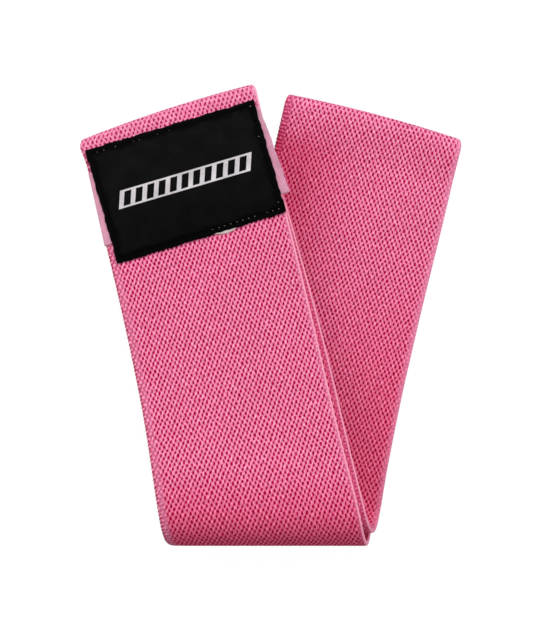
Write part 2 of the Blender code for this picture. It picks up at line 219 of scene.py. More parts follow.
class Route:
    """Stations along the webbing, as arrays: one line across the band for each.

    A line runs at s + slant * v, and its middle stands bow further out than its ends.
    (out_s, out_n) is the webbing's outward normal. The weave's coordinate along the band is
    along + spread * v + swell, with swell shaped as the bow. shift moves the strip to the
    right and widen makes it wider.
    """

    FIELDS = ("s", "slant", "bow", "n", "out_s", "out_n", "along", "spread", "swell", "shift",
              "widen")

    def __init__(self, **fields):
        for name in self.FIELDS:
            setattr(self, name, np.asarray(fields[name], float))

    def cut(self, start, end):
        """The stations from number start up to and including end."""
        return Route(**{name: getattr(self, name)[start:end + 1] for name in self.FIELDS})

    def backwards(self):
        """The same stations in the opposite order."""
        return Route(**{name: getattr(self, name)[::-1] for name in self.FIELDS})

    def join(self, other):
        """The stations of this route and then of the other one."""
        parts = {name: np.concatenate((getattr(self, name), getattr(other, name)))
                 for name in self.FIELDS}
        return Route(**parts)

    def points(self, v, offset):
        """Points at v across the band and offset from the webbing's middle, station by row."""
        column = {name: getattr(self, name)[:, None] for name in self.FIELDS}
        v = np.atleast_2d(v)
        s = column["s"] + column["bow"] * arch(v) + offset * column["out_s"]
        v = v * (1 + column["widen"] / BAND_WIDTH) + column["shift"]
        s = s + column["slant"] * v
        return place(s, v, column["n"] + offset * column["out_n"])


def arch(v):
    """1 in the middle of the band and 0 at its edges."""
    return 1 - (2 * v / BAND_WIDTH) ** 2


class Leg:
    """One leg of the V, whose outer layer turns back into its inner layer at the far end."""

    def __init__(self, side, length, end_skew, end_bow, turn_middle):
        self.side = side
        self.end_skew = side * end_skew
        self.end_bow = side * end_bow
        self.turn_middle = turn_middle
        self.fold_end = math.pi / 2 * FOLD_RADIUS / math.cos(LEAN)
        self.turn_start = length - TURN_RADIUS

    def slant(self, reach):
        """Slant of the line across, which changes from the fold's skew to the turn's."""
        t = (reach - self.fold_end) / (self.turn_start - self.fold_end)
        return mix(-math.tan(LEAN), self.end_skew, np.clip(t, 0, 1))

    def bow(self, reach):
        """Bow of the line across, from none at the fold to the far end's."""
        return self.end_bow * ease((reach - self.fold_end) / (self.turn_start - self.fold_end))

    def layer(self, reach, outer):
        """Stations on the outer (+1) or inner (-1) layer, at distances from the fold."""
        reach = np.asarray(reach, float)
        t = (reach - self.turn_start + TURN_RUN) / TURN_RUN
        parted = self.turn_middle + outer * TURN_OFFSET
        change = parted - outer * LAYER_OFFSET
        sag = FOLD_SAG * (1 - ease(reach / FOLD_SAG_RUN)) if outer < 0 else 0.0
        n = outer * LAYER_OFFSET + change * ease(t) - sag
        slope = change * ease_slope(t) / TURN_RUN
        length = np.hypot(slope, 1.0)
        slant = self.slant(reach)
        bow = self.bow(reach)
        spread = slant * outer
        swell = bow * outer
        if self.returning(outer):
            back = ease((self.turn_start - reach) / self.turn_start)
            spread = mix(-self.end_skew * outer, spread, back)
            swell = mix(-self.end_bow * outer, swell, back)
        shift, widen = lie(self.side, reach, outer)
        return Route(s=self.side * reach, slant=slant, bow=bow, n=n,
                     out_s=-outer * slope * self.side / length, out_n=outer / length,
                     along=reach, spread=spread, swell=swell, shift=shift, widen=widen)

    def returning(self, outer):
        """Whether a layer is the hidden one, on which the weave takes up the turn's skew."""
        return (self.side > 0) == (outer < 0)

    def turn(self, steps):
        """Stations round the turn from the outer to the inner layer, ends left out."""
        angle = math.pi / 2 - math.pi * np.arange(1, steps) / steps
        out_s = self.side * np.cos(angle)
        done = np.arange(1, steps) / steps
        start, end = (lie(self.side, self.turn_start, outer) for outer in (1, -1))
        narrow = CORNER_ROUND * np.cos(angle) ** 2
        same = np.ones(steps - 1)
        return Route(s=self.side * self.turn_start + TURN_OFFSET * out_s,
                     slant=self.end_skew * same, bow=self.end_bow * same,
                     n=self.turn_middle + TURN_OFFSET * np.sin(angle),
                     out_s=out_s, out_n=np.sin(angle), along=0 * same,
                     spread=self.side * self.end_skew * same,
                     swell=self.side * self.end_bow * same,
                     shift=mix(start[0], end[0], done),
                     widen=mix(start[1], end[1], done) - narrow)


FOLD_SAG = 0.0014                # the inner layer's fold is a little tighter than the outer one's
FOLD_SAG_RUN = 0.030
FOLD_WIDENING = (0.0030, 0.0018)  # of the outer and the inner layer, which the bend flattens
FOLD_WIDENING_RUN = 0.070
REAR_INNER_WIDENING_RUN = 0.040
FOLD_CORNER = 0.0020             # the left edge rounds inwards on the outermost line of the fold
FOLD_CORNER_RUN = 0.0045
FRONT_SWAY = 0.00115             # how far the front leg's middle bows to the right
CORNER_FLARE = 0.0012            # of the front leg's left corner
CORNER_RUN = 0.013
CORNER_ROUND = 0.0016            # the strip is this much narrower at the outermost of its turns
INNER_SHIFT = 0.0031             # of the inner layer's edge past the outer layer's
INNER_SHIFT_RUN = 0.130
REAR_SHIFT = 0.0018              # of the rear leg's outer layer, and where and how it sets in
REAR_SHIFT_START = 0.06
REAR_SHIFT_RUN = 0.06
REAR_INNER_SHIFT = 0.0014        # of the rear leg's inner layer past the fold
REAR_INNER_RUN = 0.08
REAR_INNER_DRIFT = 0.0006        # further on, towards its far end
REAR_INNER_DRIFT_START = 0.10


def lie(side, reach, outer):
    """How far a layer lies to the right of the leg's middle, and how much wider it is."""
    reach = np.asarray(reach, float)
    run = FOLD_WIDENING_RUN if side > 0 or outer > 0 else REAR_INNER_WIDENING_RUN
    widen = FOLD_WIDENING[0 if outer > 0 else 1] * (1 - ease(reach / run))
    corner = FOLD_CORNER * np.exp(-(reach / FOLD_CORNER_RUN) ** 2) if outer > 0 else 0.0
    widen = widen - corner
    if side < 0 and outer > 0:
        shift = REAR_SHIFT * ease((reach - REAR_SHIFT_START) / REAR_SHIFT_RUN)
        return shift + corner / 2, widen
    if side < 0:
        shift = mix(INNER_SHIFT, REAR_INNER_SHIFT, ease(reach / REAR_INNER_RUN))
        drift = REAR_INNER_DRIFT * ease((reach - REAR_INNER_DRIFT_START) / REAR_SHIFT_RUN)
        return shift + drift, widen
    shift = FRONT_SWAY * np.sin(math.pi * np.clip(reach / FRONT_LENGTH, 0, 1)) ** 2
    if outer < 0:
        return shift + INNER_SHIFT * ease((FRONT_LENGTH - reach) / INNER_SHIFT_RUN), widen
    flare = CORNER_FLARE * ease((reach - FRONT_LENGTH + CORNER_RUN) / CORNER_RUN)
    return shift - flare / 2 + corner / 2, widen + flare


FRONT = Leg(1, FRONT_LENGTH, FRONT_END_SKEW, FRONT_END_BOW, 0.0)
REAR = Leg(-1, REAR_LENGTH, REAR_END_SKEW, REAR_END_BOW, LAYER_OFFSET - TURN_OFFSET)


def ring():
    """The whole loop from the front cut of the fold, and where its four pieces part."""
    def reaches(start, end):
        return np.linspace(start, end, max(2, round(abs(end - start) / ROW_STEP) + 1))
    turn_steps = round(math.pi * TURN_OFFSET / ROW_STEP * TURN_FINENESS)
    front_out = FRONT.layer(reaches(FOLD_CUT, FRONT.turn_start), 1)
    front_back = FRONT.layer(reaches(FRONT.turn_start, FOLD_CUT), -1)
    fold_in = FRONT.layer(reaches(FOLD_CUT, 0)[:-1], -1).join(
        REAR.layer(reaches(0, FOLD_CUT), -1))
    rear_out = REAR.layer(reaches(FOLD_CUT, REAR.turn_start), -1)
    rear_back = REAR.layer(reaches(REAR.turn_start, FOLD_CUT), 1)
    fold_out = REAR.layer(reaches(FOLD_CUT, 0)[:-1], 1).join(
        FRONT.layer(reaches(0, FOLD_CUT), 1))
    front = front_out.join(FRONT.turn(turn_steps)).join(front_back)
    rear = rear_out.join(REAR.turn(turn_steps).backwards()).join(rear_back)
    whole = front
    marks = [0, len(front.s) - 1]
    for part in (fold_in, rear, fold_out):
        whole = whole.join(part.cut(1, len(part.s) - 1))
        marks.append(len(whole.s) - 1)
    middle = whole.points(np.array([0.0]), 0.0)[:, 0]
    steps = np.linalg.norm(np.diff(middle, axis=0), axis=1)
    along = np.concatenate(([0.0], np.cumsum(steps)))
    before_seam = np.arange(len(along)) < np.searchsorted(front_out.s, SEAM)
    whole.along = along + np.where(before_seam, along[-1], 0.0)
    return whole, marks


# ---------------------------------------------------------------- mesh helpers

def make_object(name, points, faces, material, uv=None, normals=None, smooth=True, **values):
    """Mesh object from arrays: uv, normals and any named values have a row for each point."""
    mesh = bpy.data.meshes.new(name)
    mesh.from_pydata(points.tolist(), [], faces)
    mesh.polygons.foreach_set("use_smooth", [smooth] * len(mesh.polygons))
    for value_name, value in values.items():
        attribute = mesh.attributes.new(value_name, "FLOAT", "POINT")
        attribute.data.foreach_set("value", value)
    if uv is not None:
        layer = mesh.uv_layers.new(name="weave")
        corners = np.empty(len(mesh.loops), dtype=np.int32)
        mesh.loops.foreach_get("vertex_index", corners)
        layer.uv.foreach_set("vector", uv[corners].ravel())
    mesh.validate()
    if normals is not None:
        mesh.normals_split_custom_set_from_vertices(normals.tolist())
    mesh.materials.append(material)
    return add_object(name, mesh)


def add_object(name, data):
    """Object in the scene that shows a mesh, curve, light or camera."""
    piece = bpy.data.objects.new(name, data)
    bpy.context.scene.collection.objects.link(piece)
    return piece


def thicken(piece, thickness):
    """Gives an open mesh its thickness, below its own surface."""
    solidify = piece.modifiers.new("thickness", "SOLIDIFY")
    solidify.thickness = thickness
    solidify.offset = -1.0


def loft_faces(stations, around):
    """Faces of a closed tube of stations sections with around points each, and two caps."""
    row = np.arange(stations - 1)[:, None] * around
    here = np.arange(around)[None, :]
    after = (here + 1) % around
    quads = np.stack((row + here, row + after, row + around + after, row + around + here),
                     axis=-1)
    first = list(range(around))
    last = list(range((stations - 1) * around, stations * around))
    return quads.reshape(-1, 4).tolist() + [first[::-1], last]


def ring_normals(points):
    """Outward unit normals of a ring-shaped tube, whose last station repeats its first."""
    closed = np.concatenate((points[-2:-1], points, points[1:2]))
    along = closed[2:] - closed[:-2]
    across = (np.roll(points, -1, axis=1) - np.roll(points, 1, axis=1))
    normal = np.cross(across, along)
    return normal / np.maximum(np.linalg.norm(normal, axis=-1, keepdims=True), 1e-12)


# ---------------------------------------------------------------- webbing

def weave_height(v, along, lean):
    """Relief of the woven face, from 0 in a hole to 1 on a float."""
    across = TWO_PI * v / WEAVE_ACROSS
    rows = TWO_PI * along / WEAVE_ALONG
    holes = np.cos(across) * np.cos(rows) + HOLE_LEAN * lean * np.sin(across) * np.sin(rows)
    return 1 - ease((holes - HOLE_RIM) / HOLE_SLOPE)


def webbing_section():
    """Cross-section of the strip: v, offset from its middle, and how strong the relief is.

    It runs over the outer face from left to right and comes back under it.
    """
    half = BAND_WIDTH / 2
    angles = np.linspace(0, math.pi / 2, 4)[:-1]
    flat = np.linspace(-half + EDGE_ROUND, half - EDGE_ROUND, COLUMNS + 1)
    round_v = half - EDGE_ROUND * (1 - np.cos(angles))
    round_up = THICKNESS / 2 - EDGE_ROUND * (1 - np.sin(angles))
    under = np.linspace(half - EDGE_ROUND, -half + EDGE_ROUND, INNER_COLUMNS + 1)
    v = np.concatenate((-round_v, flat, round_v[::-1], round_v, under, -round_v[::-1]))
    up = np.concatenate((round_up, np.full(flat.shape, THICKNESS / 2), round_up[::-1],
                         -round_up, np.full(under.shape, -THICKNESS / 2), -round_up[::-1]))
    return v, up, (up == THICKNESS / 2).astype(float)


def build_webbing(material, whole, marks):
    """The four pieces of the webbing, by name."""
    v, up, relief = webbing_section()
    around = len(v)
    half = BAND_WIDTH / 2
    along = whole.along[:, None] + whole.spread[:, None] * v[None, :]
    along = along + whole.swell[:, None] * arch(v)[None, :]
    lean = np.clip(whole.n / LAYER_OFFSET, LEAN_LEAST, 1)
    height = weave_height(v[None, :], along, lean[:, None]) * WEAVE_RELIEF
    ribs = 0.5 + 0.5 * np.cos(2 * TWO_PI * along / WEAVE_ALONG)
    on_left = ease((LEFT_SELVEDGE - (v + half)) / SELVEDGE_STEP)[None, :]
    on_right = ease((RIGHT_SELVEDGE - (half - v)) / SELVEDGE_STEP)[None, :]
    on_edge = np.maximum(on_left, on_right)
    height = mix(height, RIB_RELIEF * ribs, on_edge)
    bead = np.exp(-((half - v - BEAD_INSET) / BEAD_WIDTH) ** 2)[None, :]
    height = mix(height, WEAVE_RELIEF, bead)
    offset = up[None, :] + (height - WEAVE_RELIEF / 2) * relief[None, :]
    outmost = np.clip((-half + 2 * EDGE_ROUND - v) / (2 * EDGE_ROUND), 0, 1)[None, :]
    loops = np.sin(2 * TWO_PI * along / WEAVE_ALONG) * np.clip(lean[:, None], 0, 1)
    points = whole.points(v[None, :] - LEFT_LOOP_RELIEF * loops * outmost, offset)
    normals = ring_normals(points)
    uv = np.stack(np.broadcast_arrays(v[None, :], along), axis=-1)
    reach = np.abs(whole.s)
    # Painted shade on the outside of the fold.
    bend = np.where(whole.n > 0, ease(1 - reach / BEND_SHADE_RUN), 0.0)
    # Painted shade on the rear leg's upper layer, strongest next to the fold.
    shaded_rear = (whole.n < 0) & (whole.s < 0)
    rear_shade = 1 - ease((reach - REAR_SHADE_START) / REAR_SHADE_RUN)
    bend = np.where(shaded_rear, REAR_SHADE_SHARE * rear_shade, bend)
    # Painted shadow of the front leg on the rear leg's left side.
    near_left = 1 - ease((v + half - LEG_SHADOW_EDGE) / LEG_SHADOW_WIDTH)
    risen = ease((reach - LEG_SHADOW_START) / LEG_SHADOW_RUN)
    risen = risen * ease((REAR_LENGTH - LEG_SHADOW_END - reach) / LEG_SHADOW_END_RUN)
    crease = np.where(shaded_rear, risen, 0.0)[:, None] * near_left[None, :]
    front_far = ease((reach - FRONT_LENGTH + FRONT_FAR_RUN) / FRONT_FAR_RUN)
    rear_far = ease((reach - REAR_LENGTH + REAR_FAR_RUN) / REAR_FAR_RUN)
    far = np.where(whole.s > 0, front_far, REAR_FAR_SHARE * rear_far)
    pieces = {}
    for name, start, end in zip(WEBBING_PIECES, marks, marks[1:]):
        rows = slice(start, end + 1)
        count = end - start + 1
        pieces[name] = make_object(
            name, points[rows].reshape(-1, 3), loft_faces(count, around), material,
            uv[rows].reshape(-1, 2), normals[rows].reshape(-1, 3),
            lean=np.repeat(lean[rows], around), inside=np.tile(up < 0, count).astype(float),
            bend=np.repeat(bend[rows], around), crease=crease[rows].ravel(),
            far=np.repeat(far[rows], around))
    return pieces


def build_grips(material, whole, marks):
    """Two tacky strips on the inside of each piece of the webbing, by the piece's name.

    They stop short of the seam tape, and start again past the front turn.
    """
    bare_start = int(np.argmax(whole.s > SEAM - TAPE_LENGTH / 2 - GRIP_STOP))
    returned = (whole.n < 0) & (whole.s < FRONT.turn_start - GRIP_STOP)
    spans = [(marks[0], bare_start), (int(np.argmax(returned)), marks[1])]
    runs = {"webbing_front": spans}
    for name, start, end in zip(WEBBING_PIECES[1:], marks[1:], marks[2:]):
        runs[name] = [(start, end)]
    upper = -THICKNESS / 2 - GRIP_GAP
    offset = np.array([upper, upper, upper - GRIP_THICKNESS, upper - GRIP_THICKNESS])
    side = np.array([-0.5, 0.5, 0.5, -0.5]) * GRIP_WIDTH
    pieces = {}
    for name, spans in runs.items():
        points, faces, uv = [], [], []
        for start, end in spans:
            for middle in GRIP_PLACES:
                part = whole.cut(start, end)
                base = 4 * sum(len(rows) for rows in points)
                points.append(part.points(middle + side, offset[None, :]))
                faces += [[base + index for index in face]
                          for face in loft_faces(end - start + 1, 4)]
                uv.append(np.stack(np.broadcast_arrays(middle + side, part.along[:, None]),
                                   axis=-1))
        pieces[name] = make_object(name.replace("webbing", "grip_strips"),
                                   np.concatenate(points).reshape(-1, 3), faces, material,
                                   np.concatenate(uv).reshape(-1, 2), smooth=False)
    return pieces


# ---------------------------------------------------------------- materials

class Shader:
    """A Principled material and short ways to add nodes in front of it."""

    def __init__(self, name, roughness, sheen=0.0, gloss=0.1):
        self.material = bpy.data.materials.new(name)
        self.material.use_nodes = True
        self.tree = self.material.node_tree
        self.principled = self.tree.nodes["Principled BSDF"]
        self.principled.inputs["Roughness"].default_value = roughness
        self.principled.inputs["Sheen Weight"].default_value = sheen
        self.principled.inputs["Specular IOR Level"].default_value = gloss

    def node(self, kind, **settings):
        """New node with its settings."""
        node = self.tree.nodes.new(kind)
        for name, value in settings.items():
            setattr(node, name, value)
        return node

    def feed(self, socket, value):
        """Sets a socket to a number or joins it to another node's output."""
        if isinstance(value, bpy.types.NodeSocket):
            self.tree.links.new(value, socket)
        else:
            socket.default_value = value

    def math(self, operation, *values, clamp=False):
        """Output of a Math node."""
        node = self.node("ShaderNodeMath", operation=operation, use_clamp=clamp)
        for socket, value in zip(node.inputs, values):
            self.feed(socket, value)
        return node.outputs[0]

    def times(self, a, b, plus=None, clamp=False):
        """Output: a times b, plus a third value where one is given."""
        if plus is None:
            return self.math("MULTIPLY", a, b, clamp=clamp)
        return self.math("MULTIPLY_ADD", a, b, plus, clamp=clamp)

    def minus(self, a, b):
        """Output: a less b."""
        return self.math("SUBTRACT", a, b)

    def weave_place(self):
        """Outputs: across the band and along it, in metres, and both as a vector in mm."""
        uv = self.node("ShaderNodeUVMap", uv_map="weave").outputs[0]
        split = self.node("ShaderNodeSeparateXYZ")
        self.feed(split.inputs[0], uv)
        across, along = split.outputs[:2]
        return across, along, self.vector(self.times(across, 1000.0), self.times(along, 1000.0))

    def value_of(self, name):
        """Output: a named value that the mesh holds at its points."""
        return self.node("ShaderNodeAttribute", attribute_name=name).outputs["Fac"]

    def vector(self, x, y, z=0.0):
        """Output of a Combine XYZ node."""
        node = self.node("ShaderNodeCombineXYZ")
        for socket, value in zip(node.inputs, (x, y, z)):
            self.feed(socket, value)
        return node.outputs[0]

    def noise(self, vector, scale, detail=2.0, roughness=0.5):
        """Factor of a noise texture."""
        node = self.node("ShaderNodeTexNoise")
        self.feed(node.inputs["Vector"], vector)
        node.inputs["Scale"].default_value = scale
        node.inputs["Detail"].default_value = detail
        node.inputs["Roughness"].default_value = roughness
        return node.outputs[0]

    def ramp(self, factor, stops):
        """Colour ramp with (position, colour) stops."""
        node = self.node("ShaderNodeValToRGB")
        node.color_ramp.interpolation = "EASE"
        elements = node.color_ramp.elements
        while len(elements) < len(stops):
            elements.new(0.5)
        for element, (position, colour) in zip(elements, stops):
            element.position = position
            element.color = (*colour, 1.0)
        self.feed(node.inputs[0], factor)
        return node.outputs[0]

    def blend(self, factor, a, b, mode="MIX"):
        """Colour mixed from a to b."""
        node = self.node("ShaderNodeMix", data_type="RGBA", blend_type=mode)
        self.feed(node.inputs[0], factor)
        for socket, value in ((node.inputs[6], a), (node.inputs[7], b)):
            value = (*value, 1.0) if isinstance(value, tuple) else value
            self.feed(socket, value)
        return node.outputs[2]

    def scaled(self, colour, factor):
        """Colour made brighter or darker by a factor."""
        node = self.node("ShaderNodeVectorMath", operation="SCALE")
        self.feed(node.inputs[0], colour)
        self.feed(node.inputs[3], factor)
        return node.outputs[0]

    def finish(self, colour, height, distance, strength=1.0):
        """Joins the colour and the bump to the shader."""
        bump = self.node("ShaderNodeBump")
        bump.inputs["Distance"].default_value = distance
        bump.inputs["Strength"].default_value = strength
        self.feed(bump.inputs["Height"], height)
        self.feed(self.principled.inputs["Normal"], bump.outputs[0])
        self.feed(self.principled.inputs["Base Color"], colour)
        return self.material


SHINE_PINK = (0.960, 0.720, 0.860)
FLOAT_PINK = (0.900, 0.310, 0.500)
MIDDLE_PINK = (0.840, 0.130, 0.310)
DEEP_PINK = (0.640, 0.026, 0.130)
HOLE_RED = (0.360, 0.000, 0.028)
FAR_PINK = (0.870, 0.310, 0.530)
EDGE_LIGHT = (0.880, 0.300, 0.480)
EDGE_PINK = (0.800, 0.150, 0.330)
EDGE_SHADE = (0.660, 0.080, 0.220)
SELVEDGE_PALE = (0.820, 0.340, 0.500)
INSIDE_PINK = (0.860, 0.150, 0.330)
NOTCH_RED = (0.480, 0.020, 0.095)
INSIDE_TINT = (1.000, 0.550, 0.700)
# The next two colours multiply in painted shade: the front leg's shadow on the rear leg, and the
# fold's shade.
LEG_SHADOW_TINT = (0.840, 0.480, 0.570)
BEND_SHADE_TINT = (1.000, 0.480, 0.600)
# Colour of the front's right-edge yarn, made brighter as a painted highlight.
RIM_YARN_HIGHLIGHT = (1.000, 0.430, 0.580)
RIM_WIDTH = 0.00072              # of the smooth light yarn along the front leg's right edge, with a painted highlight
RIM_BLEND = 0.0002
WORN_PINK = (0.880, 0.360, 0.540)
WORN_WIDTH = 0.0030              # of the fuzzy part along the rear leg's right edge
WANDER_ACROSS = 0.42             # how far the holes stray from their places, in repeats
WANDER_ALONG = 0.34
HOLE_LEAST = 0.26                # depth of the shallowest hole, and how much deeper others are
HOLE_UNEVEN = 0.60
MEAN_LEVEL = 0.485               # of the weave, between 0 on a float and 1 in a hole
GRAIN = 0.60
FAR_CALM = 0.02                  # next to the far ends the holes are fainter, and shorter
FAR_SHORTER = 0.16
FAR_BLEND = 0.10
LEFT_BLEND = 0.0012              # over which the weave passes into each selvedge
RIGHT_BLEND = 0.0010
NOTCH_WIDTH = 0.0009             # of the dark notches along the left edge
NOTCH_BLEND = 0.0004
GLINT_SCALE = (2900.0, 620.0)    # of the yarn's fine streaks, across and along
GLINT_SLANT = 900.0
FOLDED_SHADE = 0.12
LEFT_COVER = 0.42                # how much of the left selvedge's colour shows on the weave's,
LEFT_COVER_BENT = 0.50           # how much more inside and at the fold, and less at a far end
LEFT_COVER_FAR = 0.45
RIGHT_COVER = 0.80
GLINT_COVER = 0.7
WORN_COVER = 0.55
WEBBING_BUMP = 0.00012           # depth of the bump that each material adds
CLOTH_BUMP = 0.00004
THREAD_BUMP = 0.00003


def woven_level(shader, across, along, place_mm, side, far):
    """Outputs: from 0 on a float to 1 in a hole, and the place along in the weave's repeats."""
    wander = shader.minus(shader.noise(place_mm, 0.55, 1.0), 0.5)
    drift = shader.minus(shader.noise(place_mm, 0.43, 1.0), 0.5)
    x = shader.math("DIVIDE", across, WEAVE_ACROSS)
    x = shader.times(wander, WANDER_ACROSS, x)
    y = shader.math("DIVIDE", along, WEAVE_ALONG)
    y = shader.times(drift, WANDER_ALONG, y)
    wave_x, wave_y = (shader.math("COSINE", shader.times(t, TWO_PI)) for t in (x, y))
    lean_x, lean_y = (shader.math("SINE", shader.times(t, TWO_PI)) for t in (x, y))
    holes = shader.times(wave_x, wave_y)
    lean = shader.times(shader.times(lean_x, lean_y), side)
    holes = shader.times(lean, HOLE_LEAN, holes)
    grain = shader.noise(place_mm, 1.1, 2.0, 0.6)
    depth = shader.noise(place_mm, 0.60, 1.0)
    depth = shader.times(depth, HOLE_UNEVEN, HOLE_LEAST)
    level = shader.times(holes, depth, MEAN_LEVEL)
    level = shader.math("ADD", level, shader.times(grain, GRAIN, -GRAIN / 2))
    level = shader.times(far, -FAR_CALM, level)
    between = shader.times(shader.times(lean_y, lean_y), far)
    return shader.times(between, -FAR_SHORTER, level), y


def yarn_streaks(shader, across, along, side):
    """Output: fine streaks that slant with the holes."""
    slanted = shader.times(along, shader.times(side, -GLINT_SLANT))
    slanted = shader.math("ADD", slanted, shader.times(across, GLINT_SCALE[0]))
    turned = shader.vector(slanted, shader.times(along, GLINT_SCALE[1]))
    return shader.noise(turned, 1.0, 2.0, 0.65)


def edge_strip(shader, from_edge, width, blend, start=0.5):
    """Output: 1 next to an edge and 0 further in, and at its width the value start."""
    return shader.times(shader.minus(width, from_edge), 1 / blend, start, clamp=True)


def webbing_material():
    """Pink elastic webbing: light floats round dark holes, ribbed selvedges, fuzzy yarn."""
    shader = Shader("pink_webbing", roughness=0.85, sheen=0.03, gloss=0.03)
    across, along, place_mm = shader.weave_place()
    side, inside, bend, far, crease = (
        shader.value_of(name) for name in ("lean", "inside", "bend", "far", "crease"))
    in_front = shader.times(side, 4.0, clamp=True)
    level, y = woven_level(shader, across, along, place_mm, side, far)
    colour = shader.ramp(level, ((0.0, FLOAT_PINK), (0.36, FLOAT_PINK), (0.54, MIDDLE_PINK),
                                 (0.68, DEEP_PINK), (0.84, HOLE_RED)))
    colour = shader.blend(shader.times(far, FAR_BLEND), colour, FAR_PINK)

    ribs = shader.math("COSINE", shader.times(y, 2 * TWO_PI))
    rib = shader.times(ribs, 0.5, 0.5)
    from_left = shader.math("ADD", across, BAND_WIDTH / 2)
    from_right = shader.minus(BAND_WIDTH / 2, across)
    on_left = edge_strip(shader, from_left, LEFT_SELVEDGE, LEFT_BLEND, 0.3)
    on_right = edge_strip(shader, from_right, RIGHT_SELVEDGE, RIGHT_BLEND)
    below = shader.times(side, -2.5, 0.0, clamp=True)
    strong = shader.times(shader.math("MAXIMUM", below, bend), LEFT_COVER_BENT, LEFT_COVER)
    strong = shader.times(far, -LEFT_COVER_FAR, strong)
    left_colour = shader.ramp(rib, ((0.34, NOTCH_RED), (0.74, EDGE_PINK)))
    pale_colour = shader.ramp(rib, ((0.10, EDGE_SHADE), (0.60, SELVEDGE_PALE)))
    left_colour = shader.blend(in_front, left_colour, pale_colour)
    right_colour = shader.ramp(rib, ((0.05, EDGE_SHADE), (0.60, EDGE_LIGHT)))
    right_colour = shader.blend(far, right_colour, WORN_PINK)
    inside_colour = shader.ramp(rib, ((0.10, NOTCH_RED), (0.45, INSIDE_PINK)))
    colour = shader.blend(shader.times(on_left, strong), colour, left_colour)
    colour = shader.blend(shader.times(on_right, RIGHT_COVER), colour, right_colour)
    lined = shader.times(inside, shader.math("MAXIMUM", on_left, on_right))
    colour = shader.blend(inside, colour, INSIDE_TINT, mode="MULTIPLY")
    colour = shader.blend(lined, colour, inside_colour)
    on_notch = edge_strip(shader, from_left, NOTCH_WIDTH, NOTCH_BLEND)
    dashes = shader.times(ribs, -1.5, 0.1, clamp=True)
    dashes = shader.times(dashes, shader.minus(1.0, far))
    colour = shader.blend(shader.times(on_notch, dashes), colour, HOLE_RED)

    streaks = yarn_streaks(shader, across, along, side)
    glint = shader.times(streaks, 6.0, -3.3, clamp=True)
    raised = shader.times(level, -2.5, 1.7, clamp=True)
    glint = shader.times(glint, raised)
    colour = shader.blend(shader.times(glint, GLINT_COVER), colour, SHINE_PINK)
    # Painted shade on the fold, weaker on the front leg's left selvedge.
    fold_shade = shader.times(shader.times(on_left, in_front), -0.75)
    fold_shade = shader.times(fold_shade, bend, bend)
    colour = shader.blend(fold_shade, colour, BEND_SHADE_TINT, mode="MULTIPLY")
    # Painted shadow of the front leg on the rear leg's left side.
    colour = shader.blend(crease, colour, LEG_SHADOW_TINT, mode="MULTIPLY")

    crisp = shader.math("MAXIMUM", inside, in_front)
    worn = edge_strip(shader, from_right, WORN_WIDTH, WORN_WIDTH, 0.0)
    worn = shader.times(worn, shader.minus(1.0, crisp))
    colour = shader.blend(shader.times(worn, WORN_COVER), colour, WORN_PINK)
    on_rim = edge_strip(shader, from_right, RIM_WIDTH, RIM_BLEND)
    on_rim = shader.times(on_rim, crisp)
    broad = shader.noise(place_mm, 0.05, 2.0)
    calm = shader.times(shader.math("MAXIMUM", lined, on_rim), -1.2, 1.6)
    tone = shader.times(shader.minus(streaks, 0.5), calm, 0.99)
    tone = shader.times(tone, shader.times(broad, 0.14, 0.93))
    # Painted shade: the front leg's part of the fold is darker.
    folded = shader.times(bend, shader.math("MAXIMUM", side, 0.0))
    folded = shader.times(folded, -FOLDED_SHADE, 1.0)
    tone = shader.times(tone, folded)
    # The right-edge yarn: light yarn plus a painted highlight.
    colour = shader.blend(on_rim, shader.scaled(colour, tone), RIM_YARN_HIGHLIGHT)
    height = shader.minus(shader.times(streaks, 0.8), level)
    return shader.finish(colour, height, WEBBING_BUMP, strength=0.6)


def cloth_material(name, light, dark, thread, roughness, sheen=0.03, gloss=0.1, uneven=0.8,
                   shaded=False):
    """Plain woven cloth of fine thread, in panel coordinates in metres."""
    shader = Shader(name, roughness=roughness, sheen=sheen, gloss=gloss)
    across, along, place_mm = shader.weave_place()
    wave_x = shader.math("SINE", shader.times(across, TWO_PI / thread))
    wave_y = shader.math("SINE", shader.times(along, TWO_PI / thread))
    weave = shader.times(shader.times(wave_x, wave_y), 0.5, 0.5)
    drawn_out = shader.vector(shader.times(across, 350.0), shader.times(along, 3500.0))
    streaks = shader.noise(drawn_out, 1.0, 3.0)
    blotches = shader.noise(place_mm, 0.12, 3.0)
    factor = shader.times(weave, 0.60, shader.times(streaks, 0.45))
    colour = shader.blend(factor, dark, light)
    tone = shader.times(blotches, uneven, 1 - uneven / 2)
    if shaded:
        tone = shader.times(tone, shader.value_of("light"))
    height = shader.math("ADD", weave, shader.times(streaks, 0.6))
    return shader.finish(shader.scaled(colour, tone), height, CLOTH_BUMP, strength=0.8)


def thread_material(name, light, dark):
    """Twisted sewing thread."""
    shader = Shader(name, roughness=0.8, gloss=0.02)
    strands = shader.noise(shader.node("ShaderNodeTexCoord").outputs["Object"], 3500.0, 2.0)
    colour = shader.blend(strands, dark, light)
    return shader.finish(colour, strands, THREAD_BUMP)


# ---------------------------------------------------------------- label, tape and stitching

